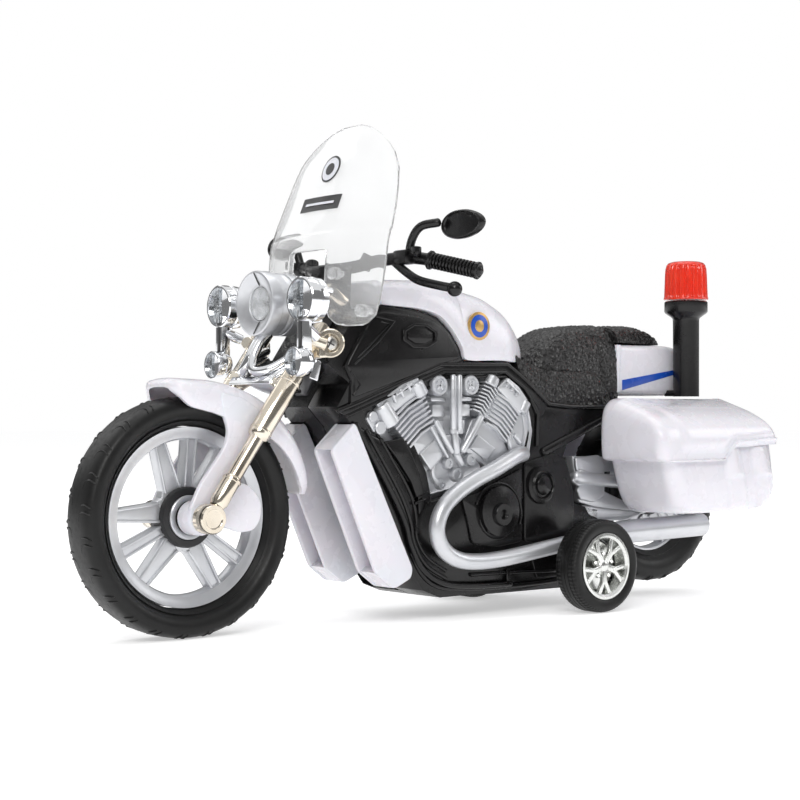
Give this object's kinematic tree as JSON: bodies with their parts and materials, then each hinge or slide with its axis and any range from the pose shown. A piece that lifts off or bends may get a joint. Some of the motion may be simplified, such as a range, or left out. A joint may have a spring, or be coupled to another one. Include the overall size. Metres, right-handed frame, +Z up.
{
  "type": "toy motorcycle",
  "caption": "Pull-back toy patrol motorcycle with steerable front fork, spoked wheels, clear windshield, side bags, red beacon and two small driven stabiliser wheels.",
  "frame": {"origin": "on the ground, under the middle of the model's bounding box", "axes": "+X forward, the way it drives; +Y the rider's left; +Z up"},
  "size_m": [0.2082, 0.086, 0.123],
  "materials": {
    "white_plastic": "gloss",
    "black_plastic": "gloss",
    "dark_grey_plastic": "satin",
    "silver_paint": "satin metallic paint",
    "nickel_plate": "polished warm nickel",
    "chrome_plate": "polished",
    "steel": "satin",
    "tyre_rubber": "satin",
    "clear_plastic": "clear gloss",
    "red_clear_plastic": "translucent gloss",
    "grained_seat_plastic": "leather grain",
    "natural_nylon": "satin"
  },
  "bodies": {
    "chassis": {"frame_left": "black_plastic", "engine_left": "silver_paint", "exhaust_left": "silver_paint", "radiator_shroud_left": "white_plastic", "swingarm_left": "silver_paint", "saddlebag_body_left": "white_plastic", "saddlebag_lid_left": "white_plastic", "motor_case_left": "dark_grey_plastic", "frame_right": "black_plastic", "engine_right": "silver_paint", "exhaust_right": "silver_paint", "radiator_shroud_right": "white_plastic", "swingarm_right": "silver_paint", "saddlebag_body_right": "white_plastic", "saddlebag_lid_right": "white_plastic", "motor_case_right": "dark_grey_plastic", "frame_screw_lower": "steel", "frame_screw_rear": "steel", "frame_screw_upper": "steel", "tank_shell": "white_plastic", "seat": "grained_seat_plastic", "tail_cowl": "white_plastic", "beacon_bracket": "black_plastic", "beacon_pole": "black_plastic", "beacon_lens": "red_clear_plastic", "middle_gear_pin": "steel", "spring_pin": "steel", "rear_axle": "steel", "steering_bush": "black_plastic"},
    "fork": {"steering_stem": "steel", "fork_clamp_upper": "nickel_plate", "steering_block": "dark_grey_plastic", "fork_crown": "nickel_plate", "fork_leg_left": "nickel_plate", "fork_leg_right": "nickel_plate", "lug_screw_left": "steel", "lug_screw_right": "steel", "fog_lamps_left": "chrome_plate", "fog_lamps_right": "chrome_plate", "headlight_shell": "silver_paint", "headlight_lens": "clear_plastic", "windshield": "clear_plastic", "handlebar": "black_plastic", "mirror_left": "black_plastic", "mirror_right": "black_plastic", "front_fender": "white_plastic", "front_axle": "steel"},
    "front_wheel": {"front_rim": "silver_paint", "front_tyre": "tyre_rubber"},
    "rear_wheel": {"rear_rim": "silver_paint", "rear_tyre": "tyre_rubber"},
    "drive_wheels": {"drive_axle": "steel", "drive_pinion": "steel", "drive_rim_left": "chrome_plate", "drive_rim_right": "chrome_plate", "drive_tyre_left": "tyre_rubber", "drive_tyre_right": "tyre_rubber"},
    "middle_gear": {"middle_gear": "natural_nylon"},
    "spring_gear": {"spring_gear": "natural_nylon", "mainspring": "steel"}
  },
  "joints": [
    {"name": "steering", "type": "hinge", "parent": "chassis", "child": "fork", "pos_m": [0.038, 0, 0.068], "axis": [-0.5736, 0, 0.8192], "range_deg": [-9, 9]},
    {"name": "front_wheel_spin", "type": "hinge", "parent": "fork", "child": "front_wheel", "pos_m": [0.0766, 0, 0.0275], "axis": [0, 1, 0], "continuous": true},
    {"name": "rear_wheel_spin", "type": "hinge", "parent": "chassis", "child": "rear_wheel", "pos_m": [-0.0784, 0, 0.0296], "axis": [0, 1, 0], "continuous": true},
    {"name": "drive_wheel_spin", "type": "hinge", "parent": "chassis", "child": "drive_wheels", "pos_m": [-0.0339, 0, 0.012], "axis": [0, 1, 0], "continuous": true},
    {"name": "middle_gear_spin", "type": "hinge", "parent": "chassis", "child": "middle_gear", "pos_m": [-0.02693, 0, 0.01361], "axis": [0, 1, 0], "continuous": true},
    {"name": "spring_gear_spin", "type": "hinge", "parent": "chassis", "child": "spring_gear", "pos_m": [-0.01978, 0, 0.01361], "axis": [0, 1, 0], "continuous": true}
  ],
  "couplings": [
    {"joint": "middle_gear_spin", "follows": "drive_wheel_spin", "ratio": -0.4},
    {"joint": "spring_gear_spin", "follows": "drive_wheel_spin", "ratio": 0.16}
  ]
}
